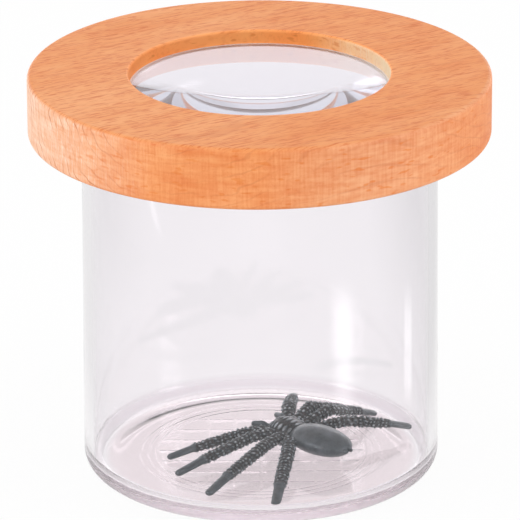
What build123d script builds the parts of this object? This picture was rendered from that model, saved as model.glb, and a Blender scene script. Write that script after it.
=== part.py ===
from build123d import *
import math
import os

# Bug catcher jar: a clear cup, a turned wooden lid with a magnifying lens, and a soft toy spider.
# Millimetres. The origin is the centre of the foot that the cup stands on, and +Z is up.

# Rounded edges and domes are cut as a few straight facets
corner_facets = 3
edge_facets = 2
chamfer_facets = 1
dome_bands = 3

# Cup, a little narrower at its rim than at its base
cup_height = 70.0
cup_base_diameter = 66.2
cup_rim_diameter = 65.3
cup_wall = 1.8
cup_corner_radius = 3.2
cup_rim_radius = 0.4
floor_thickness = 2.2
floor_fillet_radius = 2.2
foot_height = 0.3
foot_ring_width = 1.0

# Measuring rings and grid, raised under the floor
ring_radii = (20.0, 21.4, 22.9)
grid_pitch = 5.0
rib_width = 0.5
rib_height = 0.15
rib_sink = 0.1

# Lid
lid_diameter = 85.0
lid_thickness = 11.5
lid_edge_radius = 0.9
lid_overlap = 5.0
socket_clearance = 0.25
socket_edge_radius = 0.6
bore_diameter = 47.8
bore_edge_radius = 0.5

# Lens, flat above and domed below, and the split ring that holds it up
lens_depth = 2.6
lens_rim_thickness = 1.5
lens_rim_width = 1.6
lens_dome_radius = 90.0
lens_side_clearance = 0.15
retainer_width = 0.8
retainer_thickness = 1.0
retainer_clearance = 0.1
retainer_gap = 6.0

# Spider: where it lies, and its body. Heights count from the floor that it lies on.
spider_place = (7.4, -3.1)
spider_heading = 134.0
toe_clearance = 0.15
abdomen_length = 13.2
abdomen_width = 8.6
abdomen_height = 4.8
abdomen_fullest_share = 0.56
abdomen_centre_height = 4.05
carapace_length = 8.4
carapace_width = 7.0
carapace_height = 5.2
carapace_centre_height = 3.3
body_overlap = 1.2

# Spider solids are lofts through ovals with this many sides
body_sides = 14
limb_sides = 8
egg_steps = 8
egg_power = 0.85
end_share = 0.5

# Spider legs: a broad soft limb as far as the ankle, then a thinner foot
hip_stations = (5.6, 4.0, 2.3, 0.6)
hip_spread = 1.9
leg_width = 2.6
leg_thickness = 1.9
ankle_width = 2.3
ankle_thickness = 1.6
foot_width = 2.0
foot_thickness = 1.2
toe_width = 1.7
toe_thickness = 1.1
thigh_share = 0.6
ankle_share = 0.67
instep_share = 0.6
ankle_step = 0.5
leg_bow = 0.25

# Legs from front to back: each thigh runs from the hip to the knee, each foot from there to the toe
left_thigh_headings = (63, 80, 103, 131)
left_thigh_reaches = (5.8, 6.2, 7.2, 8.0)
left_knee_heights = (3.5, 4.0, 3.7, 3.8)
left_foot_headings = (64, 81, 102, 128)
left_foot_reaches = (14.2, 16.2, 17.8, 17.3)
left_toe_lifts = (0.0, 0.0, 0.0, 0.0)
right_thigh_headings = (-48, -75, -92, -117)
right_thigh_reaches = (6.2, 6.6, 7.6, 8.0)
right_knee_heights = (4.6, 5.3, 5.3, 4.7)
right_foot_headings = (-48, -91, -88, -117)
right_foot_reaches = (14.9, 12.4, 12.9, 12.8)
right_toe_lifts = (0.0, 0.0, 0.0, 1.2)

# Spider mouth parts and spinnerets
jaw_length = 3.0
jaw_width = 1.7
jaw_height = 2.6
jaw_spread = 0.85
jaw_drop = 0.65
palp_thickness = 1.2
palp_spread = 1.7
palp_reach = 1.8
palp_rise = 1.1
palp_elbow_heading = 28.0
palp_tip_heading = 14.0
spinneret_length = 1.9
spinneret_diameter = 1.1
spinneret_spread = 0.6

# Worked out from the sizes above
base_radius = cup_base_diameter / 2
rim_radius = cup_rim_diameter / 2
floor_top = foot_height + floor_thickness
foot_inner_radius = base_radius - cup_corner_radius - foot_ring_width
lid_radius = lid_diameter / 2
lid_bottom = cup_height - lid_overlap
lid_top = lid_bottom + lid_thickness
bore_radius = bore_diameter / 2
lens_seat = lid_top - lens_depth
lens_underside = lens_seat - lens_rim_thickness
lens_radius = bore_radius + lens_rim_width
pocket_radius = lens_radius + lens_side_clearance
dome_edge_radius = lens_radius - retainer_width
carapace_front = carapace_length - body_overlap
abdomen_back = body_overlap - abdomen_length


def softened(corners):
    # The outline's points, with each rounded corner cut into facets of its tangent arc
    points = []
    for index, (radius, height, rounding, facets) in enumerate(corners):
        here = Vector(radius, height)
        if not facets:
            points.append(here)
            continue
        back = (Vector(*corners[index - 1][:2]) - here).normalized()
        ahead = (Vector(*corners[(index + 1) % len(corners)][:2]) - here).normalized()
        half_angle = back.get_angle(ahead) / 2
        centre = here + (back + ahead).normalized() * rounding / math.sin(math.radians(half_angle))
        start = here + back * rounding / math.tan(math.radians(half_angle)) - centre
        side = math.copysign(1, back.cross(ahead).Z)
        turn = side * (2 * half_angle - 180) / facets
        points += [centre + start.rotate(Axis.Z, turn * step) for step in range(facets + 1)]
    return points


def turned(corners, arc=360):
    # A solid of revolution from corners of radius, height, rounding and its facets
    outline = Polyline(*softened(corners), close=True)
    return revolve(Plane.XZ * make_face(outline), Axis.Z, revolution_arc=arc)


def annulus(outer, inner, height, bottom):
    # A flat ring that stands on the given height
    ring = Circle(outer) - Circle(inner)
    return extrude(Pos(0, 0, bottom) * ring, amount=height)


def floor_ribs():
    # The concentric rings and the square grid inside them, sunk a little into the floor
    bottom = foot_height - rib_height
    depth = rib_height + rib_sink
    ribs = [annulus(radius, radius - rib_width, depth, bottom) for radius in ring_radii]
    grid_radius = min(ring_radii) - rib_width / 2
    count = int(grid_radius // grid_pitch)
    for step in range(-count, count + 1):
        offset = step * grid_pitch
        length = 2 * math.sqrt(grid_radius ** 2 - offset ** 2)
        bar = Pos(0, offset, bottom + depth / 2) * Box(length, rib_width, depth)
        ribs.append(bar)
        ribs.append(Rot(0, 0, 90) * bar)
    return ribs


def make_cup():
    wall = turned([
        (0, foot_height, 0, 0),
        (foot_inner_radius, foot_height, 0, 0),
        (foot_inner_radius, 0, 0, 0),
        (base_radius, 0, cup_corner_radius, corner_facets),
        (rim_radius, cup_height, cup_rim_radius, chamfer_facets),
        (rim_radius - cup_wall, cup_height, cup_rim_radius, chamfer_facets),
        (base_radius - cup_wall, floor_top, floor_fillet_radius, edge_facets),
        (0, floor_top, 0, 0),
    ])
    return wall.fuse(*floor_ribs())


def make_lid_ring():
    # From the top: viewing bore, lens seat, lens pocket, socket for the cup's rim
    socket_radius = rim_radius + socket_clearance
    return turned([
        (bore_radius, lid_top, bore_edge_radius, chamfer_facets),
        (lid_radius, lid_top, lid_edge_radius, edge_facets),
        (lid_radius, lid_bottom, lid_edge_radius, edge_facets),
        (socket_radius, lid_bottom, socket_edge_radius, chamfer_facets),
        (socket_radius, cup_height, 0, 0),
        (pocket_radius, cup_height, 0, 0),
        (pocket_radius, lens_seat, 0, 0),
        (bore_radius, lens_seat, 0, 0),
    ])


def make_lens():
    # The dome hangs below a flat rim, and its bands run from its edge to the middle
    dome_base = math.sqrt(lens_dome_radius ** 2 - dome_edge_radius ** 2)
    dome = []
    for band in range(dome_bands + 1):
        radius = dome_edge_radius * (1 - band / dome_bands)
        drop = math.sqrt(lens_dome_radius ** 2 - radius ** 2) - dome_base
        dome.append((radius, lens_underside - drop))
    rim = [(0, lens_seat), (lens_radius, lens_seat), (lens_radius, lens_underside)]
    outline = Polyline(*rim, *dome, close=True)
    return revolve(Plane.XZ * make_face(outline), Axis.Z)


def make_retaining_ring():
    # Split, so that it springs out against the wall of the lens pocket
    outer = pocket_radius - retainer_clearance
    bottom = lens_underside - retainer_thickness
    gap_angle = math.degrees(retainer_gap / outer)
    ring = turned([
        (dome_edge_radius, bottom, 0, 0),
        (outer, bottom, 0, 0),
        (outer, lens_underside, 0, 0),
        (dome_edge_radius, lens_underside, 0, 0),
    ], arc=360 - gap_angle)
    return Rot(0, 0, 90 + gap_angle / 2) * ring


def limb(stations, sides):
    # A ruled loft through flat ovals, each square to the path with its width level
    turns = [2 * math.pi * side / sides for side in range(sides)]
    sections = []
    for index, (point, width, thickness) in enumerate(stations):
        before = stations[max(index - 1, 0)][0]
        after = stations[min(index + 1, len(stations) - 1)][0]
        along = (after - before).normalized()
        across = Vector(0, 0, 1).cross(along)
        oval = [(width / 2 * math.cos(turn), thickness / 2 * math.sin(turn)) for turn in turns]
        plane = Plane(origin=point, x_dir=across, z_dir=along)
        sections.append(plane * Polygon(*oval, align=None))
    return loft(sections, ruled=True)


def egg(back, front, width, height, fullest, centre):
    # A rounded body along X from back to front, widest at the fullest station
    stations = []
    for step in range(egg_steps):
        turn = math.pi * (step + end_share) / egg_steps
        reach = fullest - back if turn < math.pi / 2 else front - fullest
        point = Vector(fullest - reach * math.cos(turn), centre.Y, centre.Z)
        swell = math.sin(turn) ** egg_power
        stations.append((point, width * swell, height * swell))
    return limb(stations, body_sides)


def reach_out(start, heading, reach, height):
    # The point that lies a level reach away along a heading, at the given height
    turn = math.radians(heading)
    return Vector(start.X + reach * math.cos(turn), start.Y + reach * math.sin(turn), height)


def make_leg(hip, thigh_heading, thigh_reach, knee_height, foot_heading, foot_reach, toe_lift):
    toe_height = toe_clearance + toe_thickness / 2 + toe_lift
    knee = reach_out(hip, thigh_heading, thigh_reach, knee_height)
    toe = reach_out(knee, foot_heading, foot_reach, toe_height)
    bow = Vector(0, 0, leg_bow)
    thigh = hip + (knee - hip) * thigh_share + bow
    ankle = knee + (toe - knee) * ankle_share + bow
    shin = (knee + ankle) / 2
    foot = ankle + (toe - ankle).normalized() * ankle_step
    instep = foot + (toe - foot) * instep_share
    tip = toe + (toe - foot).normalized() * toe_thickness * end_share
    return limb([
        (hip, leg_width, leg_thickness),
        (thigh, leg_width, leg_thickness),
        (knee, leg_width, leg_thickness),
        (shin, (leg_width + ankle_width) / 2, (leg_thickness + ankle_thickness) / 2),
        (ankle, ankle_width, ankle_thickness),
        (foot, foot_width, foot_thickness),
        (instep, (foot_width + toe_width) / 2, (foot_thickness + toe_thickness) / 2),
        (toe, toe_width, toe_thickness),
        (tip, toe_width * end_share, toe_thickness * end_share),
    ], limb_sides)


def make_palp(side):
    # A short feeler beside the jaws, raised at its elbow
    hip = Vector(carapace_front - body_overlap, side * palp_spread, carapace_centre_height)
    elbow = reach_out(hip, side * palp_elbow_heading, palp_reach, hip.Z + palp_rise)
    tip = reach_out(elbow, side * palp_tip_heading, palp_reach, hip.Z + palp_rise / 2)
    end = tip + (tip - elbow).normalized() * palp_thickness * end_share
    return limb([
        (hip, palp_thickness, palp_thickness),
        (elbow, palp_thickness, palp_thickness),
        (tip, palp_thickness, palp_thickness),
        (end, palp_thickness * end_share, palp_thickness * end_share),
    ], limb_sides)


def make_jaw(side):
    front = carapace_front + jaw_length / 2
    centre = Vector(0, side * jaw_spread, carapace_centre_height - jaw_drop)
    return egg(front - jaw_length, front, jaw_width, jaw_height, carapace_front, centre)


def make_spinneret(side):
    root = Vector(abdomen_back + spinneret_diameter, side * spinneret_spread, abdomen_centre_height)
    tip = root - Vector(spinneret_length, 0, 0)
    return limb([
        (root, spinneret_diameter, spinneret_diameter),
        (tip, spinneret_diameter * end_share, spinneret_diameter * end_share),
    ], limb_sides)


def make_toy_spider():
    # Modelled facing +X with its waist at the origin, then laid on the floor of the cup
    abdomen_fullest = abdomen_back + abdomen_fullest_share * abdomen_length
    abdomen_centre = Vector(0, 0, abdomen_centre_height)
    abdomen = egg(abdomen_back, body_overlap, abdomen_width, abdomen_height, abdomen_fullest, abdomen_centre)
    carapace_centre = Vector(0, 0, carapace_centre_height)
    carapace = egg(-body_overlap, carapace_front, carapace_width, carapace_height, carapace_front / 2,
                   carapace_centre)
    left_legs = zip(left_thigh_headings, left_thigh_reaches, left_knee_heights,
                    left_foot_headings, left_foot_reaches, left_toe_lifts)
    right_legs = zip(right_thigh_headings, right_thigh_reaches, right_knee_heights,
                     right_foot_headings, right_foot_reaches, right_toe_lifts)
    limbs = []
    for side, legs in ((1, left_legs), (-1, right_legs)):
        for station, pose in zip(hip_stations, legs):
            hip = Vector(station, side * hip_spread, carapace_centre_height)
            limbs.append(make_leg(hip, *pose))
        limbs.append(make_palp(side))
        limbs.append(make_jaw(side))
        limbs.append(make_spinneret(side))
    spider = abdomen.fuse(carapace, *limbs)
    return Pos(*spider_place, floor_top) * Rot(0, 0, spider_heading) * spider


nodes = {
    "cup": make_cup(),
    "lid_ring": make_lid_ring(),
    "magnifier_lens": make_lens(),
    "lens_retaining_ring": make_retaining_ring(),
    "toy_spider": make_toy_spider(),
}

os.makedirs("parts", exist_ok=True)
for name, shape in nodes.items():
    export_step(shape, f"parts/{name}.step")
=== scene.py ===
import math

import bmesh
import bpy
import numpy as np
from mathutils import Matrix, Vector
from mathutils.geometry import delaunay_2d_cdt


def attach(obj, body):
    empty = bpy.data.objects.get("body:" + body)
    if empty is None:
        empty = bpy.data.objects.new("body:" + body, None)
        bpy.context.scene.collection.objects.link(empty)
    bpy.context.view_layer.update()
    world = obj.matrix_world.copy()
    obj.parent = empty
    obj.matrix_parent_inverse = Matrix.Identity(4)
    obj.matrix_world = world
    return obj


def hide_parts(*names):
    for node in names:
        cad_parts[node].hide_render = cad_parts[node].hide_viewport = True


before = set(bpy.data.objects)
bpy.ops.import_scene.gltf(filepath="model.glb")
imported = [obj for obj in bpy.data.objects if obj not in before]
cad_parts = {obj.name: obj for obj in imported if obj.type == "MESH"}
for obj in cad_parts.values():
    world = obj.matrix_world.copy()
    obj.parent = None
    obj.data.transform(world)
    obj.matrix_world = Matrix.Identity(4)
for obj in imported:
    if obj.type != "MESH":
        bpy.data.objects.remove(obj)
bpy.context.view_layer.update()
millimetre = 0.001     # shapes are worked out in millimetres and written in metres
metre = 1000.0         # in millimetres, divided by a pattern's size to give its scale
plainTuft = 0.3        # tuft height that stands for the vinyl's plain colour
meanTuft = 0.25        # tuft height at which a leg or the head keeps its own thickness
print("frame loaded")


def hexColor(text):
    # sRGB hex to linear RGBA
    srgb = np.array([int(text[k:k + 2], 16) for k in (1, 3, 5)]) / 255
    linear = np.where(srgb <= 0.04045, srgb / 12.92, ((srgb + 0.055) / 1.055) ** 2.4)
    return (*linear.tolist(), 1.0)


def addNode(tree, kind, sockets=None, **settings):
    # kind is a shader node's name; a socket is set where it is given a value, and linked where it is
    # given an output, or a node, which stands for that node's first output in use
    node = tree.nodes.new("ShaderNode" + kind)
    for name, value in settings.items():
        setattr(node, name, value)
    for key, value in (sockets or {}).items():
        if isinstance(value, bpy.types.Node):
            value = next(output for output in value.outputs if output.enabled)
        if isinstance(value, bpy.types.NodeSocket):
            tree.links.new(value, node.inputs[key])
        else:
            node.inputs[key].default_value = value
    return node


def newMaterial(name):
    material = bpy.data.materials.new(name)
    material.use_nodes = True
    tree = material.node_tree
    tree.nodes.clear()
    return material, tree


def axisDistance(tree, place):
    # distance from the jar's axis, sqrt(x^2 + y^2)
    flat = addNode(tree, "VectorMath", {0: place, 1: (1, 1, 0)}, operation="MULTIPLY")
    return addNode(tree, "VectorMath", {0: flat}, operation="LENGTH")


def gridFaces(rows, columns, closeRows, closeColumns):
    # quads of a grid of points, joined round where a direction closes on itself
    index = np.arange(rows * columns).reshape(rows, columns)
    if closeRows:
        index = np.vstack([index, index[:1]])
    if closeColumns:
        index = np.hstack([index, index[:, :1]])
    corners = (index[:-1, :-1], index[:-1, 1:], index[1:, 1:], index[1:, :-1])
    return np.stack(corners, -1).reshape(-1, 4)


def roundedPath(corners, steps, guard=0.05, fewest=4):
    # corners are (radius out, height, rounding): each rounding is a tangent arc, whose points are
    # centre + rounding * (cos, sin), with a guard point just outside each end that keeps the flats flat;
    # a rounding of 1 mm or more has that many steps, and a smaller one fewer
    points = []
    count = len(corners)
    for k, (x, z, rounding) in enumerate(corners):
        here = np.array([x, z], float)
        if rounding == 0:
            points.append(here[None])
            continue
        back = np.array(corners[k - 1][:2], float) - here
        ahead = np.array(corners[(k + 1) % count][:2], float) - here
        back /= np.linalg.norm(back)
        ahead /= np.linalg.norm(ahead)
        half = math.acos(np.clip(back @ ahead, -1, 1)) / 2
        centre = here + (back + ahead) / np.linalg.norm(back + ahead) * rounding / math.sin(half)
        start = here + back * rounding / math.tan(half) - centre
        end = here + ahead * rounding / math.tan(half) - centre
        share = np.linspace(0, 1, max(round(steps * min(rounding, 1)), fewest) + 1)[:, None]
        sweep = math.pi - 2 * half
        arc = (start * np.sin((1 - share) * sweep) + end * np.sin(share * sweep)) / math.sin(sweep)
        if guard:
            lead = min(guard, rounding / 5)
            arc = np.vstack([start + back * lead, arc, end + ahead * lead])
        points.append(centre + arc)
    return np.vstack(points)


def lathe(profile, segments, loop):
    # point(i, j) = (r_i cos t_j, r_i sin t_j, z_i) with t_j = 2 pi j / segments
    turn = np.arange(segments) * 2 * np.pi / segments
    radius, height = profile[:, :1], profile[:, 1:]
    points = np.stack([radius * np.cos(turn), radius * np.sin(turn), height + 0 * turn], -1)
    return points.reshape(-1, 3), gridFaces(len(profile), segments, loop, True)


def makePiece(name, parts, material, body, nodes, sharpAngle=40, weld=0.002):
    # joins the parts, welds poles and seams, turns faces outwards; a part's third item is its tuft height
    points = np.vstack([part[0] for part in parts]) * millimetre
    offsets = np.cumsum([0] + [len(part[0]) for part in parts])
    faces = []
    for part, offset in zip(parts, offsets):
        faces.extend((np.asarray(part[1]) + offset).tolist())
    mesh = bpy.data.meshes.new(name)
    mesh.from_pydata(points.tolist(), [], faces)
    if len(parts[0]) > 2:
        tuft = mesh.attributes.new("tuft", "FLOAT", "POINT")
        tuft.data.foreach_set("value", np.concatenate([part[2] for part in parts]))
    work = bmesh.new()
    work.from_mesh(mesh)
    bmesh.ops.remove_doubles(work, verts=work.verts, dist=weld * millimetre)
    bmesh.ops.recalc_face_normals(work, faces=work.faces)
    work.to_mesh(mesh)
    work.free()
    mesh.polygons.foreach_set("use_smooth", np.ones(len(mesh.polygons), bool))
    mesh.set_sharp_from_angle(angle=math.radians(sharpAngle))
    mesh.materials.append(material)
    piece = bpy.data.objects.new(name, mesh)
    bpy.context.scene.collection.objects.link(piece)
    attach(piece, body)
    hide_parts(*nodes)
    return piece


# Clear polystyrene, injection moulded: bright, hard and glossy, with a pale lilac cast that
# deepens where the eye looks along the wall, and faint flow waves and scuffs from the mould
polystyrene = dict(
    tint="#faf8fa", deepTint="#e6d9e0", depth=90.0, refraction=1.59, gloss="#cccccc", wave=9.0, scuff=2.5,
    # floor colour: a rosy tint with painted shade, for the jar's shadow on the table under the floor
    floorTintAndShade="#f1e6e9", floorRadius=28.0, floorFade=1.5,
    cornerTint="#f5ecf2", cornerRadius=29.6, cornerWidth=0.6, cornerHeight=4.6, cornerFade=2.6,
    satin=0.36)                          # roughness that wear adds to the rounded foot


def makePolystyrene(settings):
    material, tree = newMaterial("moulded clear polystyrene")
    place = addNode(tree, "TexCoord").outputs["Object"]
    waves = addNode(tree, "TexNoise", {"Vector": place, "Scale": metre / settings["wave"], "Detail": 1.0})
    scuffs = addNode(tree, "TexNoise", {"Vector": place, "Scale": metre / settings["scuff"], "Detail": 4.0})
    rough = addNode(tree, "MapRange", {"Value": scuffs, "From Min": 0.45, "From Max": 0.75, "To Max": 0.03})
    bump = addNode(tree, "Bump", {"Height": waves, "Strength": 0.02, "Distance": 0.0004})
    # the floor is a little rosier and darker, a tint with painted shade for the jar's shadow on the table
    # beneath, and the rounded foot is satin from wear
    out = axisDistance(tree, place)
    low = addNode(tree, "MapRange", {
        "Value": out, "From Min": (settings["floorRadius"] + settings["floorFade"]) * millimetre,
        "From Max": settings["floorRadius"] * millimetre})
    outer = addNode(tree, "MapRange", {
        "Value": out, "From Min": settings["cornerRadius"] * millimetre,
        "From Max": (settings["cornerRadius"] + settings["cornerWidth"]) * millimetre})
    height = addNode(tree, "SeparateXYZ", {0: place}).outputs["Z"]
    lower = addNode(tree, "MapRange", {
        "Value": height, "From Min": settings["cornerHeight"] * millimetre,
        "From Max": (settings["cornerHeight"] - settings["cornerFade"]) * millimetre})
    corner = addNode(tree, "Math", {0: outer, 1: lower}, operation="MULTIPLY")
    rougher = addNode(tree, "Math", {0: corner, 1: settings["satin"], 2: rough}, operation="MULTIPLY_ADD")
    color = addNode(tree, "Mix", {
        0: low, 6: hexColor(settings["tint"]), 7: hexColor(settings["floorTintAndShade"])}, data_type="RGBA")
    color = addNode(tree, "Mix", {0: corner, 6: color, 7: hexColor(settings["cornerTint"])}, data_type="RGBA")
    shader = addNode(tree, "BsdfPrincipled", {
        "Base Color": color, "Transmission Weight": 1.0, "IOR": settings["refraction"], "Roughness": rougher,
        "Normal": bump, "Specular Tint": hexColor(settings["gloss"])})
    depth = addNode(tree, "VolumeAbsorption", {
        "Color": hexColor(settings["deepTint"]), "Density": metre / settings["depth"]})
    addNode(tree, "OutputMaterial", {"Surface": shader, "Volume": depth})
    return material


# Clear cast acrylic, polished: colourless and very smooth, with the odd fine hair scratch and a
# ground rim that shows as a thin whitish line beside the wood
acrylic = dict(
    tint="#f5f2f7", deepTint="#d6d9e6", depth=50.0, refraction=1.49, scratch=1.6,
    ground="#fbf6f4", rimRadius=23.2, rimWidth=0.6, rimShare=0.8)


def makeAcrylic(settings):
    material, tree = newMaterial("polished clear acrylic")
    place = addNode(tree, "TexCoord").outputs["Object"]
    scratches = addNode(tree, "TexNoise", {
        "Vector": place, "Scale": metre / settings["scratch"], "Detail": 5.0, "Distortion": 1.2})
    rough = addNode(tree, "MapRange", {
        "Value": scratches, "From Min": 0.6, "From Max": 0.8, "To Max": 0.0005})
    shader = addNode(tree, "BsdfPrincipled", {
        "Base Color": hexColor(settings["tint"]), "Transmission Weight": 1.0, "IOR": settings["refraction"],
        "Roughness": rough})
    rim = addNode(tree, "MapRange", {
        "Value": axisDistance(tree, place), "From Min": settings["rimRadius"] * millimetre,
        "From Max": (settings["rimRadius"] + settings["rimWidth"]) * millimetre,
        "To Max": settings["rimShare"]})
    ground = addNode(tree, "BsdfDiffuse", {"Color": hexColor(settings["ground"])})
    surface = addNode(tree, "MixShader", {0: rim, 1: shader, 2: ground})
    depth = addNode(tree, "VolumeAbsorption", {
        "Color": hexColor(settings["deepTint"]), "Density": metre / settings["depth"]})
    addNode(tree, "OutputMaterial", {"Surface": surface, "Volume": depth})
    return material


# Beech, turned and finely sanded, bare: a warm pinkish orange with short dark ray flecks along
# the grain, and end grain on the -X side with fine pores and growth lines; that side, the front right
# and the bore carry painted light and sheen, as from the lamps at the sides
beech = dict(
    pale="#f3a970", deep="#ea9352", fade=0.2, board=85.0,                # paler towards -X across the board
    # painted light: the -X side is painted paler for the key lamp's sheen, the front right for the fill
    # lamp's light
    turned="#f9ebdf", leftPaintedSheen="#efc3a4", rightPaintedLight=0.26,
    boreRadius=24.0, boreFade=0.4,
    # painted light: the bore's walls are painted lighter, the right one most, as it faces the key lamp on the
    # left
    boreLeftPaintedLight=(1.45, 1.15, 0.95, 1), boreRightPaintedLight=(1.5, 1.45, 1.4, 1),       # shares of the wood's colour
    pore="#fff0e2", fleck="#d56c2b", spot="#e2803a", mottle="#f3cfae",
    growth="#bf6433", ringPitch=1.9, ringBend=5.0, ringDrift=0.02,
    pith=(0, -25.0, 86.0),               # in millimetres along the grain, across it and up
    figureDeep=(0.95, 0.83, 0.72, 1), figurePale=(1.05, 1.17, 1.28, 1),  # shares of the wood's colour
    lineShare=0.4,
    grainTurn=30.0,                      # degrees from X to the grain, seen from above
    # noise patterns: length along the grain, width across it and height in millimetres, and detail
    patterns=dict(
        tone=(34.0, 9.0, 9.0, 3.0),
        pores=(20.0, 0.3, 3.0, 1.0),
        rings=(25 / 3, 25 / 3, 25 / 3, 2.0),     # where growth rings show more or less
        flecks=(2.6, 0.24, 0.6, 1.0),    # rays are thin ribbons on edge
        spots=(2.6, 2.6, 0.8, 1.0),
        mottle=(6.25, 10 / 3, 2.5, 4.0),
        streaks=(7.0, 7.0, 0.9, 3.0),
        lines=(0.4, 0.4, 6.0, 1.0),
        fibres=(5.0, 0.16, 0.16, 2.0)))


def makeBeech(settings):
    material, tree = newMaterial("turned and sanded beech")
    coordinates = addNode(tree, "TexCoord")
    place = coordinates.outputs["Object"]
    # in millimetres, with X along the grain
    along = addNode(tree, "Mapping", {
        "Vector": place, "Rotation": (0, 0, -math.radians(settings["grainTurn"])),
        "Scale": (metre, metre, metre)})
    noise = {}
    for name, (length, width, height, detail) in settings["patterns"].items():
        scaled = addNode(tree, "VectorMath", {
            0: along, 1: (1 / length, 1 / width, 1 / height)}, operation="MULTIPLY")
        noise[name] = addNode(tree, "TexNoise", {"Vector": scaled, "Scale": 1.0, "Detail": detail})
    # each is 1 on its own faces: flat, upright, end grain looking to -X, which also takes the painted sheen,
    # the bore and outside the bore
    facing = addNode(tree, "SeparateXYZ", {0: coordinates.outputs["Normal"]})
    level = addNode(tree, "Math", {0: facing.outputs["Z"]}, operation="ABSOLUTE")
    flatFace = addNode(tree, "MapRange", {"Value": level, "From Min": 0.5, "From Max": 0.97})
    uprightFace = addNode(tree, "Math", {0: 1.0, 1: flatFace}, operation="SUBTRACT")
    endGrainAndSheenFace = addNode(tree, "MapRange", {"Value": facing.outputs["X"], "From Min": -0.45, "From Max": -1.0})
    boreFace = addNode(tree, "MapRange", {
        "Value": axisDistance(tree, place),
        "From Min": (settings["boreRadius"] + settings["boreFade"]) * millimetre,
        "From Max": settings["boreRadius"] * millimetre})
    outside = addNode(tree, "Math", {0: 1.0, 1: boreFace}, operation="SUBTRACT")
    # the board is paler on the -X side
    aside = addNode(tree, "SeparateXYZ", {0: place}).outputs["X"]
    slope = metre * settings["fade"] / settings["board"]
    slant = addNode(tree, "Math", {0: aside, 1: slope, 2: noise["tone"]}, operation="MULTIPLY_ADD")
    tone = addNode(tree, "MapRange", {"Value": slant, "From Min": 0.3, "From Max": 0.7})
    base = addNode(tree, "Mix", {
        0: tone, 6: hexColor(settings["pale"]), 7: hexColor(settings["deep"])}, data_type="RGBA")
    # turned upright faces take up more finish and look deeper
    shaded = addNode(tree, "Mix", {
        0: uprightFace, 6: base, 7: hexColor(settings["turned"])}, data_type="RGBA", blend_type="MULTIPLY")
    # painted light: the outside between front and right is painted a little paler for the fill lamp, and the
    # -X side paler for the key lamp's sheen: 4 x (1 - x) is 1 where the normal's X is a half
    toRight = addNode(tree, "MapRange", {"Value": facing.outputs["X"]})
    toFront = addNode(tree, "Math", {0: 1.0, 1: toRight}, operation="SUBTRACT")
    rightFace = addNode(tree, "Math", {0: toRight, 1: toFront}, operation="MULTIPLY")
    rightLightShare = addNode(tree, "Math", {0: rightFace, 1: 4 * settings["rightPaintedLight"]}, operation="MULTIPLY")
    paler = addNode(tree, "Math", {0: rightLightShare, 1: outside, 2: endGrainAndSheenFace}, operation="MULTIPLY_ADD")
    withPaintedSheen = addNode(tree, "Mix", {0: paler, 6: shaded, 7: hexColor(settings["leftPaintedSheen"])}, data_type="RGBA")
    # painted light: the bore's walls are painted lighter, the right one most, as it faces the key lamp on the
    # left
    boreSide = addNode(tree, "MapRange", {"Value": facing.outputs["X"], "From Min": 0.7, "From Max": -0.7})
    borePaintedLight = addNode(tree, "Mix", {
        0: boreSide, 6: settings["boreLeftPaintedLight"], 7: settings["boreRightPaintedLight"]}, data_type="RGBA")
    withBorePaintedLight = addNode(tree, "Mix", {
        0: boreFace, 6: withPaintedSheen, 7: borePaintedLight}, data_type="RGBA", blend_type="MULTIPLY", clamp_result=True)
    # pores of the end grain: upright streaks, the light ones kept
    poreLight = addNode(tree, "MapRange", {
        "Value": noise["pores"], "From Min": 0.5, "From Max": 0.75, "To Max": 0.5})
    poreShare = addNode(tree, "Math", {0: poreLight, 1: endGrainAndSheenFace}, operation="MULTIPLY")
    pored = addNode(tree, "Mix", {0: poreShare, 6: withBorePaintedLight, 7: hexColor(settings["pore"])}, data_type="RGBA")
    # growth rings: sine of the distance from the pith line, bent by noise and strongest on the end grain
    fromPith = addNode(tree, "VectorMath", {0: along, 1: settings["pith"]}, operation="SUBTRACT")
    drifted = addNode(tree, "VectorMath", {
        0: fromPith, 1: (settings["ringDrift"], 1, 1)}, operation="MULTIPLY")
    reach = addNode(tree, "VectorMath", {0: drifted}, operation="LENGTH")
    bent = addNode(tree, "Math", {
        0: noise["tone"], 1: settings["ringBend"], 2: reach}, operation="MULTIPLY_ADD")
    phase = addNode(tree, "Math", {0: bent, 1: 2 * math.pi / settings["ringPitch"]}, operation="MULTIPLY")
    wave = addNode(tree, "Math", {0: phase}, operation="SINE")
    ringShare = addNode(tree, "MapRange", {"Value": wave, "From Min": 0.82})
    ringPower = addNode(tree, "MapRange", {
        "Value": noise["rings"], "From Min": 0.4, "From Max": 0.6, "To Min": 0.15, "To Max": 0.85})
    ringFace = addNode(tree, "MapRange", {"Value": endGrainAndSheenFace, "From Max": 0.6, "To Min": 0.3})
    for factor in (ringPower, ringFace, outside):
        ringShare = addNode(tree, "Math", {0: ringShare, 1: factor}, operation="MULTIPLY")
    ringed = addNode(tree, "Mix", {0: ringShare, 6: pored, 7: hexColor(settings["growth"])}, data_type="RGBA")
    # ray flecks: noise stretched along the grain, its peaks kept, and strong only on the flat faces
    fleckPeak = addNode(tree, "MapRange", {
        "Value": noise["flecks"], "From Min": 0.54, "From Max": 0.64, "To Max": 0.8})
    fleckFace = addNode(tree, "MapRange", {"Value": flatFace, "To Min": 0.2})
    fleckShare = addNode(tree, "Math", {0: fleckPeak, 1: fleckFace}, operation="MULTIPLY")
    flecked = addNode(tree, "Mix", {
        0: fleckShare, 6: ringed, 7: hexColor(settings["fleck"])}, data_type="RGBA")
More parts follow.
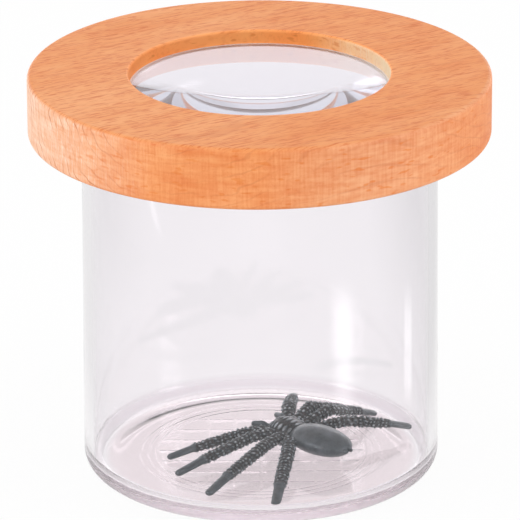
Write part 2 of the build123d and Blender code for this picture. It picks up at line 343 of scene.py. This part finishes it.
    # on the upright faces the rays show as a few broad orange spots, over a soft mottle
    spotPeak = addNode(tree, "MapRange", {
        "Value": noise["spots"], "From Min": 0.62, "From Max": 0.7, "To Max": 0.75})
    spotFace = addNode(tree, "Math", {0: uprightFace, 1: endGrainAndSheenFace}, operation="SUBTRACT", use_clamp=True)
    spotShare = addNode(tree, "Math", {0: spotPeak, 1: spotFace}, operation="MULTIPLY")
    spotted = addNode(tree, "Mix", {
        0: spotShare, 6: flecked, 7: hexColor(settings["spot"])}, data_type="RGBA")
    mottleShare = addNode(tree, "MapRange", {
        "Value": noise["mottle"], "From Min": 0.35, "From Max": 0.65, "To Max": 0.25})
    mottled = addNode(tree, "Mix", {
        0: mottleShare, 6: spotted, 7: hexColor(settings["mottle"])}, data_type="RGBA", blend_type="MULTIPLY")
    # figure of the upright faces: level streaks crossed by fine upright lines, darker and paler by turns
    crossed = addNode(tree, "Mix", {0: settings["lineShare"], 2: noise["streaks"], 3: noise["lines"]})
    figure = addNode(tree, "MapRange", {"Value": crossed, "From Min": 0.36, "From Max": 0.64})
    figureColor = addNode(tree, "Mix", {
        0: figure, 6: settings["figureDeep"], 7: settings["figurePale"]}, data_type="RGBA")
    figureFace = addNode(tree, "Math", {0: uprightFace, 1: outside}, operation="MULTIPLY")
    figured = addNode(tree, "Mix", {
        0: figureFace, 6: mottled, 7: figureColor}, data_type="RGBA", blend_type="MULTIPLY")
    # sanded fibres along the grain
    rough = addNode(tree, "MapRange", {
        "Value": noise["fibres"], "From Min": 0.3, "From Max": 0.7, "To Min": 0.46, "To Max": 0.6})
    bump = addNode(tree, "Bump", {"Height": noise["fibres"], "Strength": 0.12, "Distance": 0.0002})
    shader = addNode(tree, "BsdfPrincipled", {
        "Base Color": figured, "Roughness": rough, "Normal": bump, "IOR": 1.45})
    addNode(tree, "OutputMaterial", {"Surface": shader})
    return material


# Split ring of natural polypropylene: milky and half clear, with a soft moulded sheen
ringPlastic = dict(pale="#e6e6ea", deep="#d8d8de", mottle=3.0, refraction=1.49, clear=0.5, cover=0.35)


def makeRingPlastic(settings):
    material, tree = newMaterial("natural polypropylene")
    place = addNode(tree, "TexCoord").outputs["Object"]
    mottle = addNode(tree, "TexNoise", {"Vector": place, "Scale": metre / settings["mottle"], "Detail": 3.0})
    color = addNode(tree, "Mix", {
        0: mottle, 6: hexColor(settings["pale"]), 7: hexColor(settings["deep"])}, data_type="RGBA")
    rough = addNode(tree, "MapRange", {"Value": mottle, "To Min": 0.3, "To Max": 0.45})
    shader = addNode(tree, "BsdfPrincipled", {
        "Base Color": color, "Roughness": rough, "Transmission Weight": settings["clear"],
        "IOR": settings["refraction"], "Alpha": settings["cover"]})
    addNode(tree, "OutputMaterial", {"Surface": shader})
    return material


# Soft PVC, moulded: a dark blue green grey with a satin shine. The legs and head have moulded hair
# tufts, with painted highlights on their tips and painted shade in the crevices, and the abdomen is smooth
# deep is painted shade for the crevices, and pale a painted highlight for the tufts' tips
softVinyl = dict(deep="#080f12", pale="#e4ecf2", plain="#243a43", patch=1.7, tooth=0.3)


def makeSoftVinyl(settings):
    material, tree = newMaterial("moulded soft vinyl")
    place = addNode(tree, "TexCoord").outputs["Object"]
    tuft = addNode(tree, "Attribute", attribute_name="tuft").outputs["Fac"]
    patch = addNode(tree, "TexNoise", {"Vector": place, "Scale": metre / settings["patch"], "Detail": 4.0})
    tooth = addNode(tree, "TexNoise", {"Vector": place, "Scale": metre / settings["tooth"], "Detail": 2.0})
    # painted shade: crevices below the plain height go dark; painted highlight: tips above it go pale,
    # unevenly
    creaseShade = addNode(tree, "MapRange", {"Value": tuft, "From Max": plainTuft})
    tip = addNode(tree, "MapRange", {"Value": tuft, "From Min": 0.25, "From Max": 0.65})
    uneven = addNode(tree, "MapRange", {"Value": patch, "From Min": 0.35, "From Max": 0.65, "To Min": 0.25})
    tipHighlight = addNode(tree, "Math", {0: tip, 1: uneven}, operation="MULTIPLY")
    ground = addNode(tree, "Mix", {
        0: creaseShade, 6: hexColor(settings["deep"]), 7: hexColor(settings["plain"])}, data_type="RGBA")
    color = addNode(tree, "Mix", {0: tipHighlight, 6: ground, 7: hexColor(settings["pale"])}, data_type="RGBA")
    rough = addNode(tree, "MapRange", {"Value": tooth, "To Min": 0.32, "To Max": 0.42})
    bump = addNode(tree, "Bump", {"Height": tooth, "Strength": 0.05, "Distance": 0.0001})
    shader = addNode(tree, "BsdfPrincipled", {
        "Base Color": color, "Roughness": rough, "Normal": bump, "IOR": 1.53})
    addNode(tree, "OutputMaterial", {"Surface": shader})
    return material


cup = dict(
    height=70.0, radius=33.1, rimRadius=32.65, wall=1.8, corner=3.2, rim=0.4, floor=2.2, fillet=2.2,
    foot=0.3, footWidth=1.0, footRamp=4.8,
    rings=(20.0, 21.4, 22.9), gridPitch=5.0, gridMargin=0.25, ribWidth=0.8, ribHeight=0.03, ribPoints=9,
    segments=256, longStep=8.0, cuts=4)


def cupShell(settings):
    # half section from the inner ring, out round the foot and wall, over the rim and in to the axis
    under = settings["foot"]
    width, lift = settings["ribWidth"], settings["ribHeight"]
    top = under + settings["floor"]
    footOut = settings["radius"] - settings["corner"]
    swell = np.linspace(0, 1, settings["ribPoints"])     # each rib is a raised cosine across its width
    ribs = [(r - width + out * width, under - lift * (1 - math.cos(2 * math.pi * out)) / 2, 0.0)
            for r in settings["rings"] for out in swell]
    ramp = [(footOut - settings["footWidth"] - settings["footRamp"] * (1 - out),
             under * (1 + math.cos(math.pi * out)) / 2, 0.0) for out in swell]
    profile = roundedPath(ribs + ramp + [
        (settings["radius"], 0, settings["corner"]),
        (settings["rimRadius"], settings["height"], settings["rim"]),
        (settings["rimRadius"] - settings["wall"], settings["height"], settings["rim"]),
        (settings["radius"] - settings["wall"], top, settings["fillet"]),
        (0, top, 0.0)], steps=20)
    # the long wall and the floor are cut into shorter steps, so that their faces stay even
    between = np.linspace(profile[:-1], profile[1:], settings["cuts"] + 1)[:-1]
    length = np.linalg.norm(np.diff(profile, axis=0), axis=1)
    keep = np.ones((settings["cuts"], len(length)), bool)
    keep[1:, length < settings["longStep"]] = False
    profile = np.vstack([between.transpose(1, 0, 2)[keep.T], profile[-1:]])
    return lathe(profile, settings["segments"], False)


def cupGrid(settings):
    # disc under the floor, ridge height = lift * (1 + cos(2 pi d / width)) / 2, d the distance to the nearest
    # line; the lines stop a margin inside the disc's edge, which stays level
    pitch, width, lift = settings["gridPitch"], settings["ribWidth"], settings["ribHeight"]
    edge = settings["rings"][0] - width
    turn = np.arange(settings["segments"]) * 2 * np.pi / settings["segments"]
    circle = edge * np.stack([np.cos(turn), np.sin(turn)], -1)
    lines = np.arange(-math.floor(edge / pitch), math.floor(edge / pitch) + 1) * pitch
    offsets = (lines[:, None] + np.linspace(-0.5, 0.5, settings["ribPoints"]) * width).ravel()
    ends = np.sqrt((edge - settings["gridMargin"]) ** 2 - offsets ** 2)
    upright = np.stack([offsets, -ends, offsets, ends], -1).reshape(-1, 2)
    points = np.vstack([circle, upright, upright[:, ::-1]])
    edges = np.arange(len(circle), len(points)).reshape(-1, 2)
    outline = [list(range(len(circle)))]
    inside, nearness = 1, 1e-6           # triangles inside the outline only, and points this near are one
    found = delaunay_2d_cdt([Vector(p) for p in points], edges.tolist(), outline, inside, nearness, False)
    flat = np.array([tuple(p) for p in found[0]])
    away = np.abs(flat - np.round(flat / pitch) * pitch)
    ridge = (1 + np.cos(2 * np.pi * np.minimum(away / width, 0.5))).max(1) / 2
    ridge[np.hypot(flat[:, 0], flat[:, 1]) > edge - settings["gridMargin"] / 2] = 0
    return np.column_stack([flat, settings["foot"] - lift * ridge]), found[2]


lens = dict(
    top=73.88, underside=72.4, radius=25.5, dome=24.7, domeStep=0.1, curve=90.0, edge=0.2, segments=192,
    rows=28)


def lensBody(settings):
    # flat above and a spherical cap below, z = underside - sqrt(R^2 - r^2) + sqrt(R^2 - dome^2), with a flat
    # rim; with no guard points, smooth shading bends the normals a little beside the rim
    r = settings["dome"] * np.linspace(1, 0, settings["rows"])
    z = settings["underside"] - np.sqrt(settings["curve"] ** 2 - r ** 2) + math.sqrt(
        settings["curve"] ** 2 - settings["dome"] ** 2)
    rim = roundedPath([
        (0, settings["top"], 0.0),
        (settings["radius"], settings["top"], settings["edge"]),
        (settings["radius"], settings["underside"], settings["edge"]),
        (settings["dome"] + settings["domeStep"], settings["underside"], 0.0)], steps=4, guard=0)
    profile = np.vstack([rim, np.column_stack([r, z])])
    return lathe(profile, settings["segments"], False)


lid = dict(
    radius=42.5, bottom=65.0, top=76.5, edge=0.9, socket=32.9, socketTop=70.0, socketEdge=0.6,
    bore=23.9, boreEdge=0.5, pocket=25.65, pocketEdge=0.2, seat=73.9, segments=256)


def lidRing(settings):
    # closed half section of the turned ring: rounded outside, stepped inside for the rim and the lens
    profile = roundedPath([
        (settings["bore"], settings["seat"], 0.0),
        (settings["bore"], settings["top"], settings["boreEdge"]),
        (settings["radius"], settings["top"], settings["edge"]),
        (settings["radius"], settings["bottom"], settings["edge"]),
        (settings["socket"], settings["bottom"], settings["socketEdge"]),
        (settings["socket"], settings["socketTop"], settings["pocketEdge"]),
        (settings["pocket"], settings["socketTop"], settings["pocketEdge"]),
        (settings["pocket"], settings["seat"], 0.0)], steps=12)
    return lathe(profile, settings["segments"], True)


spider = dict(
    place=(7.4, -3.1, 2.5), heading=134.0, clearance=0.15,
    abdomen=dict(back=-12.0, front=1.2, width=8.6, height=4.8, fullest=-4.6, centre=4.05, grid=(90, 120)),
    carapace=dict(back=-1.2, front=7.2, width=7.0, height=5.2, fullest=3.6, centre=3.3, grid=(90, 110)),
    relief=0.12,                         # share by which the carapace's knobs stand out
    jaw=dict(back=5.7, front=8.7, width=1.7, height=2.6, fullest=7.2, grid=(30, 32)),
    jawSide=0.85, jawDrop=0.65,          # from the middle, and below the carapace's centre
    # heading, reach and rise of a feeler's elbow and tip
    feeler=dict(root=6.0, side=1.7, elbow=(28, 1.8, 1.1), tip=(14, 2.4, 0.55), widths=(1.2, 1.1), columns=24),
    spinneret=dict(root=-10.9, side=0.6, length=1.9, widths=(1.1, 0.6), columns=20),
    hips=(5.6, 4.0, 2.3, 0.6), hipSpread=1.9,
    leg=(2.6, 1.9), ankle=(2.3, 1.6), foot=(2.0, 1.2), toe=(1.7, 1.1), legColumns=32,
    ankleShare=0.67, ankleStep=0.5, bow=0.25, bowShare=0.6,
    # thigh heading, thigh reach, knee height, foot heading, foot reach, toe lift
    left=((63, 5.8, 3.5, 64, 14.2, 0), (80, 6.2, 4.0, 81, 16.2, 0),
          (103, 7.2, 3.7, 102, 17.8, 0), (131, 8.0, 3.8, 128, 17.3, 0)),
    right=((-48, 6.2, 4.6, -48, 14.9, 0), (-75, 6.6, 5.3, -91, 12.4, 0),
           (-92, 7.6, 5.3, -88, 12.9, 0), (-117, 8.0, 4.7, -117, 12.8, 1.2)),
    tuft=0.42, tuftPitch=0.95, tuftColumns=5, tuftBlunt=0.8, tuftFade=0.03,
    # waves that set the tufts out of line: height, number round the leg, number along it
    tuftSway=((0.9, 1, 0.7), (0.5, 3, 2.3)), tuftTwist=((0.6, 0, 1.9), (0.5, 0, 0.8)),
    tuftUneven=0.3, tuftBeat=3.1, tuftDrift=((2.0, 2, 1.3),))


def ovalTube(stations, columns, tuft=None, rounding=0.6, step=0.1, fewestRows=16):
    # surface(s, a) = path(s) + across * w/2 cos a + up * t/2 sin a, widened by the tufts, closed at both ends
    places = np.array([p for p, w, t in stations], float)
    sizes = np.array([(w, t) for p, w, t in stations], float)
    length = np.concatenate([[0], np.cumsum(np.linalg.norm(np.diff(places, axis=0), axis=1))])
    rows = max(int(length[-1] / step), fewestRows)
    run = np.linspace(0, length[-1], rows)
    path = np.stack([np.interp(run, length, places[:, k]) for k in range(3)], -1)
    size = np.stack([np.interp(run, length, sizes[:, k]) for k in range(2)], -1)
    window = np.hanning(2 * int(rounding / (run[1] - run[0])) + 3)
    window /= window.sum()
    half = len(window) // 2
    padded = np.pad(path, ((half, half), (0, 0)), mode="reflect", reflect_type="odd")
    path = np.stack([np.convolve(line, window, "valid") for line in padded.T], -1)
    ahead = np.gradient(path, axis=0)
    ahead /= np.linalg.norm(ahead, axis=1, keepdims=True)
    across = np.cross((0, 0, 1), ahead)
    across /= np.linalg.norm(across, axis=1, keepdims=True)
    up = np.cross(ahead, across)
    # round ends: the section shrinks as a half circle over half its width
    reach = size.max(1) / 2
    fromEnd = np.clip(np.minimum(run, length[-1] - run) / reach, 0, 1)
    close = np.sqrt(1 - (1 - fromEnd) ** 2)
    angle = np.arange(columns) * 2 * np.pi / columns
    stand = np.full((rows, columns), plainTuft)
    grow = np.zeros((rows, columns))
    if tuft is not None:
        stand, grow = tuft(run[:, None] / length[-1], run[:, None], angle[None])
    wide = (size[:, :1] / 2 + grow) * close[:, None]
    high = (size[:, 1:] / 2 + grow) * close[:, None]
    points = (path[:, None] + across[:, None] * (wide * np.cos(angle))[..., None]
              + up[:, None] * (high * np.sin(angle))[..., None])
    return points.reshape(-1, 3), gridFaces(rows, columns, False, True), stand.ravel()


def eggBody(shape, side, relief=0.0, blunt=0.85, knobRows=13, knobColumns=4):
    # surface(t, a): x = fullest - reach cos t, section radii scale with sin(t)^blunt, reach differs before
    # and behind, and knobs stand out where cos(m t + n a) cos(m t - n a) is above 0
    rows, columns = shape["grid"]
    t = np.linspace(0, np.pi, rows)[:, None]
    a = np.arange(columns)[None] * 2 * np.pi / columns
    reach = np.where(t < np.pi / 2, shape["fullest"] - shape["back"], shape["front"] - shape["fullest"])
    waves = np.cos(knobRows * t + knobColumns * a) * np.cos(knobRows * t - knobColumns * a)
    knobs = np.clip(waves, 0, 1) * np.sqrt(np.sin(t))
    swell = np.sin(t) ** blunt * (1 + relief * (knobs - meanTuft))
    x = shape["fullest"] - reach * np.cos(t) + 0 * a
    y = side + shape["width"] / 2 * swell * np.cos(a)
    z = shape["centre"] + shape["height"] / 2 * swell * np.sin(a)
    stand = knobs if relief > 0 else plainTuft + 0 * knobs
    return np.stack([x, y, z], -1).reshape(-1, 3), gridFaces(rows, columns, False, True), stand.ravel()


def reachOut(start, heading, reach, height):
    turn = math.radians(heading)
    return np.array([start[0] + reach * math.cos(turn), start[1] + reach * math.sin(turn), height])


def spiderLeg(settings, hip, pose):
    thighHeading, thighReach, kneeHeight, footHeading, footReach, toeLift = pose
    toeHeight = settings["clearance"] + settings["toe"][1] / 2 + toeLift
    knee = reachOut(hip, thighHeading, thighReach, kneeHeight)
    toe = reachOut(knee, footHeading, footReach, toeHeight)
    bow = np.array([0, 0, settings["bow"]])
    ankle = knee + (toe - knee) * settings["ankleShare"] + bow
    foot = ankle + (toe - ankle) / np.linalg.norm(toe - ankle) * settings["ankleStep"]
    tip = toe + (toe - foot) / np.linalg.norm(toe - foot) * settings["toe"][1] / 2
    legSize, ankleSize = np.array(settings["leg"]), np.array(settings["ankle"])
    footSize, toeSize = np.array(settings["foot"]), np.array(settings["toe"])
    stations = [
        (hip, *legSize), (hip + (knee - hip) * settings["bowShare"] + bow, *legSize), (knee, *legSize),
        ((knee + ankle) / 2, *(legSize + ankleSize) / 2), (ankle, *ankleSize), (foot, *footSize),
        (foot + (toe - foot) * settings["bowShare"], *(footSize + toeSize) / 2),
        (toe, *toeSize), (tip, *toeSize)]
    whole = sum(np.linalg.norm(b[0] - a[0]) for a, b in zip(stations[:-1], stations[1:]))
    hairy = (np.linalg.norm(knee - hip) + np.linalg.norm(ankle - knee)) / whole

    def tufts(share, run, angle):
        # staggered bumps: cos(k s + m a) cos(k s - m a), kept where they stand out, and faded on the foot
        def waves(terms):
            return sum(height * np.sin(turns * angle + along * run) for height, turns, along in terms)

        turn = np.pi * run / settings["tuftPitch"] + waves(settings["tuftSway"])
        around = settings["tuftColumns"] * angle + waves(settings["tuftTwist"])
        beat = np.sin(settings["tuftBeat"] * run + waves(settings["tuftDrift"]))
        uneven = 1 - settings["tuftUneven"] * (1 - beat)
        rows = np.clip(np.cos(turn + around) * np.cos(turn - around), 0, 1) ** settings["tuftBlunt"] * uneven
        fade = np.clip((hairy - share) / settings["tuftFade"], 0, 1)
        return rows * fade + plainTuft * (1 - fade), settings["tuft"] * fade * (rows - meanTuft)

    return ovalTube(stations, settings["legColumns"], tufts)


def spiderBody(settings):
    feeler, spinneret = settings["feeler"], settings["spinneret"]
    parts = [eggBody(settings["abdomen"], 0.0), eggBody(settings["carapace"], 0.0, settings["relief"])]
    middle = settings["carapace"]["centre"]
    for side, poses in ((1, settings["left"]), (-1, settings["right"])):
        for station, pose in zip(settings["hips"], poses):
            hip = np.array([station, side * settings["hipSpread"], middle])
            parts.append(spiderLeg(settings, hip, pose))
        path = [np.array([feeler["root"], side * feeler["side"], middle])]
        for heading, reach, rise in (feeler["elbow"], feeler["tip"]):
            path.append(reachOut(path[-1], side * heading, reach, middle + rise))
        wide, narrow = feeler["widths"]
        stations = [(place, width, width) for place, width in zip(path, (wide, wide, narrow))]
        parts.append(ovalTube(stations, feeler["columns"]))
        jaw = dict(settings["jaw"], centre=middle - settings["jawDrop"])
        parts.append(eggBody(jaw, side * settings["jawSide"]))
        root = np.array([spinneret["root"], side * spinneret["side"], settings["abdomen"]["centre"]])
        tip = root - (spinneret["length"], 0, 0)
        stations = [(place, width, width) for place, width in zip((root, tip), spinneret["widths"])]
        parts.append(ovalTube(stations, spinneret["columns"]))
    turn = math.radians(settings["heading"])
    cosine, sine = math.cos(turn), math.sin(turn)
    spin = np.array([[cosine, sine, 0], [-sine, cosine, 0], [0, 0, 1]])
    return [(points @ spin + np.array(settings["place"]), faces, stand) for points, faces, stand in parts]


cupPiece = makePiece(
    "cup_wall_and_floor", [cupShell(cup), cupGrid(cup)], makePolystyrene(polystyrene), "cup", ["cup"],
    sharpAngle=25)
print("cup made,", len(cupPiece.data.polygons), "faces")
lensPiece = makePiece(
    "lens_body", [lensBody(lens)], makeAcrylic(acrylic), "lid", ["magnifier_lens"])
print("lens made,", len(lensPiece.data.polygons), "faces")
lidPiece = makePiece("lid_turned_ring", [lidRing(lid)], makeBeech(beech), "lid", ["lid_ring"])
print("lid made,", len(lidPiece.data.polygons), "faces")
spiderPiece = makePiece(
    "spider_moulding", spiderBody(spider), makeSoftVinyl(softVinyl), "spider", ["toy_spider"],
    sharpAngle=180)
print("spider made,", len(spiderPiece.data.polygons), "faces")
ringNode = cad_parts["lens_retaining_ring"]
ringNode.data.materials.clear()
ringNode.data.materials.append(makeRingPlastic(ringPlastic))
print("ring given its plastic")


def whatIsSeen(tree, path):
    # seen is 1 for the eye, in reflections and in glass; direct is 1 until light has met a matt surface
    seen = addNode(tree, "Math", {
        0: path.outputs["Is Camera Ray"], 1: path.outputs["Is Glossy Ray"]}, operation="MAXIMUM")
    seen = addNode(tree, "Math", {0: seen, 1: path.outputs["Is Transmission Ray"]}, operation="MAXIMUM")
    direct = addNode(tree, "Math", {0: path.outputs["Diffuse Depth"], 1: 0.5}, operation="LESS_THAN")
    return seen, direct


# lengths in metres, and the streaks' angles and widths in degrees round the jar
stage = dict(
    size=8.0, gap=0.0001, pale="#f6f6f6", glow=0.95, inner=0.8,
    dimLeft=0.15, dimRight=0.22, dimStart=0.028, dimEnd=0.06,
    mirrorRadius=0.033, nearFade=0.02, farFade=0.03,
    streaks=[
        dict(angle=28.0, width=5.5, near=0.065, far=0.1, power=2.4),
        dict(angle=56.5, width=1.8, near=0.06, far=0.085, power=2.0)])


def makeStage(settings):
    # white table: glows white to the eye and in glass, and stays a plain diffuse white to other light
    half, gap = settings["size"] / 2, settings["gap"]
    mesh = bpy.data.meshes.new("table")
    corners = [(-half, -half, -gap), (half, -half, -gap), (half, half, -gap), (-half, half, -gap)]
    mesh.from_pydata(corners, [], [(0, 1, 2, 3)])
    material, tree = newMaterial("white table")
    path = addNode(tree, "LightPath")
    seen, direct = whatIsSeen(tree, path)
    share = addNode(tree, "Math", {0: seen, 1: settings["glow"]}, operation="MULTIPLY")
    # light that has already met a matt surface finds the table a little darker
    level = addNode(tree, "MapRange", {"Value": direct, "To Min": settings["inner"]})
    # seen in glass, the table falls off a little towards both sides
    place = addNode(tree, "TexCoord").outputs["Object"]
    aside = addNode(tree, "SeparateXYZ", {0: place}).outputs["X"]
    right = addNode(tree, "MapRange", {
        "Value": aside, "From Min": settings["dimStart"], "From Max": settings["dimEnd"],
        "To Max": settings["dimRight"]})
    left = addNode(tree, "MapRange", {
        "Value": aside, "From Min": -settings["dimStart"], "From Max": -settings["dimEnd"],
        "To Max": settings["dimLeft"]})
    both = addNode(tree, "Math", {0: left, 1: right}, operation="ADD")
    glass = addNode(tree, "Math", {0: 1.0, 1: path.outputs["Is Camera Ray"]}, operation="SUBTRACT")
    dim = addNode(tree, "Math", {0: both, 1: glass}, operation="MULTIPLY")
    white = addNode(tree, "Math", {0: level, 1: dim}, operation="SUBTRACT")
    # bright streaks beside the jar, which only glass and gloss show, and whose mirror images stand upright
    # on its wall: one lies along the ray that the wall turns away at its angle, and widens as that ray's fan
    flat = addNode(tree, "VectorMath", {0: place, 1: (1, 1, 0)}, operation="MULTIPLY")
    mirror = settings["mirrorRadius"]
    for streak in settings["streaks"]:
        angle = math.radians(streak["angle"])
        start = (mirror * math.sin(angle), -mirror * math.cos(angle), 0)
        ahead = (math.sin(2 * angle), -math.cos(2 * angle), 0)
        across = (math.cos(2 * angle), math.sin(2 * angle), 0)
        arm = addNode(tree, "VectorMath", {0: flat, 1: start}, operation="SUBTRACT")
        reach = addNode(tree, "VectorMath", {0: arm, 1: ahead}, operation="DOT_PRODUCT")
        off = addNode(tree, "VectorMath", {0: arm, 1: across}, operation="DOT_PRODUCT")
        off = addNode(tree, "Math", {0: off}, operation="ABSOLUTE")
        fan = addNode(tree, "Math", {0: reach, 1: 2.0, 2: mirror}, operation="MULTIPLY_ADD")
        turn = addNode(tree, "Math", {0: off, 1: fan}, operation="DIVIDE")
        core = addNode(tree, "MapRange", {
            "Value": turn, "From Min": math.radians(streak["width"]), "From Max": 0.0,
            "To Max": streak["power"]}, interpolation_type="SMOOTHSTEP")
        near = addNode(tree, "MapRange", {
            "Value": reach, "From Min": streak["near"] - settings["nearFade"], "From Max": streak["near"]},
            interpolation_type="SMOOTHSTEP")
        far = addNode(tree, "MapRange", {
            "Value": reach, "From Min": streak["far"] + settings["farFade"], "From Max": streak["far"]},
            interpolation_type="SMOOTHSTEP")
        for end in (near, far):
            core = addNode(tree, "Math", {0: core, 1: end}, operation="MULTIPLY")
        white = addNode(tree, "Math", {0: core, 1: glass, 2: white}, operation="MULTIPLY_ADD")
    matt = addNode(tree, "BsdfDiffuse", {"Color": hexColor(settings["pale"])})
    glow = addNode(tree, "Emission", {"Color": (1, 1, 1, 1), "Strength": white})
    mixed = addNode(tree, "MixShader", {0: share, 1: matt, 2: glow})
    addNode(tree, "OutputMaterial", {"Surface": mixed})
    mesh.materials.append(material)
    table = bpy.data.objects.new("table", mesh)
    bpy.context.scene.collection.objects.link(table)


# level of the white surround for soft light, to the eye, and in glass past that many surfaces
studio = dict(soft=0.83, seen=1.0, glass=0.95, surfaces=2.5)


def makeSurround(settings):
    world = bpy.data.worlds.new("studio")
    bpy.context.scene.world = world
    world.use_nodes = True
    tree = world.node_tree
    tree.nodes.clear()
    path = addNode(tree, "LightPath")
    seen, direct = whatIsSeen(tree, path)
    shown = addNode(tree, "Math", {0: seen, 1: direct}, operation="MULTIPLY")
    # through both walls of the cup, the surround is as bright as the table
    through = addNode(tree, "Math", {
        0: path.outputs["Transmission Depth"], 1: settings["surfaces"]}, operation="GREATER_THAN")
    clear = addNode(tree, "MapRange", {
        "Value": through, "To Min": settings["seen"], "To Max": settings["glass"]})
    level = addNode(tree, "Mix", {0: shown, 2: settings["soft"], 3: clear})
    sky = addNode(tree, "Background", {"Color": (1, 1, 1, 1), "Strength": level})
    addNode(tree, "OutputWorld", {"Surface": sky})


# softboxes: place and size in metres, brightness as radiance, where 1 is white
lamps = dict(
    key=dict(place=(-0.9, -0.42, 0.45), aim=(0, 0, 0.05), size=(0.5, 0.55), brightness=4.4, mirrored=False),
    fill=dict(place=(0.9, -0.35, 0.4), aim=(0, 0, 0.05), size=(0.3, 0.6), brightness=5.0, mirrored=False),
    strip=dict(place=(0, 0.3, 0.05), aim=(0, 0, 0.05), size=(1.1, 0.1), brightness=1.9, mirrored=True))


def makeLamp(name, settings):
    light = bpy.data.lights.new(name, "AREA")
    light.shape = "RECTANGLE"
    light.size, light.size_y = settings["size"]
    # an area lamp of power P and area A has radiance P / (pi A)
    light.energy = settings["brightness"] * math.pi * light.size * light.size_y
    if settings["mirrored"]:
        # shows only by reflection, as in the foot, and never straight through the cup
        light.use_nodes = True
        tree = light.node_tree
        tree.nodes.clear()
        depth = addNode(tree, "LightPath").outputs["Glossy Depth"]
        turned = addNode(tree, "Math", {0: depth, 1: 0.5}, operation="GREATER_THAN")
        glow = addNode(tree, "Emission", {"Strength": turned})
        addNode(tree, "OutputLight", {"Surface": glow})
    lamp = bpy.data.objects.new(name, light)
    lamp.visible_camera = False
    back = Vector(settings["place"]) - Vector(settings["aim"])
    turn = back.to_track_quat("Z", "Y").to_matrix().to_4x4()
    lamp.matrix_world = Matrix.Translation(settings["place"]) @ turn
    bpy.context.scene.collection.objects.link(lamp)


# target and distance in millimetres
view = dict(
    target=(-0.049, 0.0, 39.611), distance=985.876, elevation=20.875, roll=-0.267, lens=368.77, sensor=36.0)


def makeCamera(settings):
    # stands on the -Y side, and its axes are right, up and back after the roll
    rise, roll = math.radians(settings["elevation"]), math.radians(settings["roll"])
    back = Vector((0, -math.cos(rise), math.sin(rise)))
    right = Vector((1, 0, 0))
    up = back.cross(right)
    rolledRight = right * math.cos(roll) + up * math.sin(roll)
    rolledUp = up * math.cos(roll) - right * math.sin(roll)
    place = (Vector(settings["target"]) + back * settings["distance"]) * millimetre
    data = bpy.data.cameras.new("camera")
    data.lens = settings["lens"]
    data.sensor_width = settings["sensor"]
    camera = bpy.data.objects.new("camera", data)
    turn = Matrix((rolledRight, rolledUp, back)).transposed().to_4x4()
    camera.matrix_world = Matrix.Translation(place) @ turn
    bpy.context.scene.collection.objects.link(camera)
    bpy.context.scene.camera = camera


makeStage(stage)
makeSurround(studio)
for lampName, lampSettings in lamps.items():
    makeLamp(lampName, lampSettings)
makeCamera(view)
bpy.context.scene.view_settings.view_transform = "Standard"
bpy.context.scene.cycles.max_bounces = 48              # light runs far round inside the clear wall
bpy.context.scene.cycles.transmission_bounces = 48
bpy.context.scene.cycles.glossy_bounces = 24
print("stage, light and camera set")
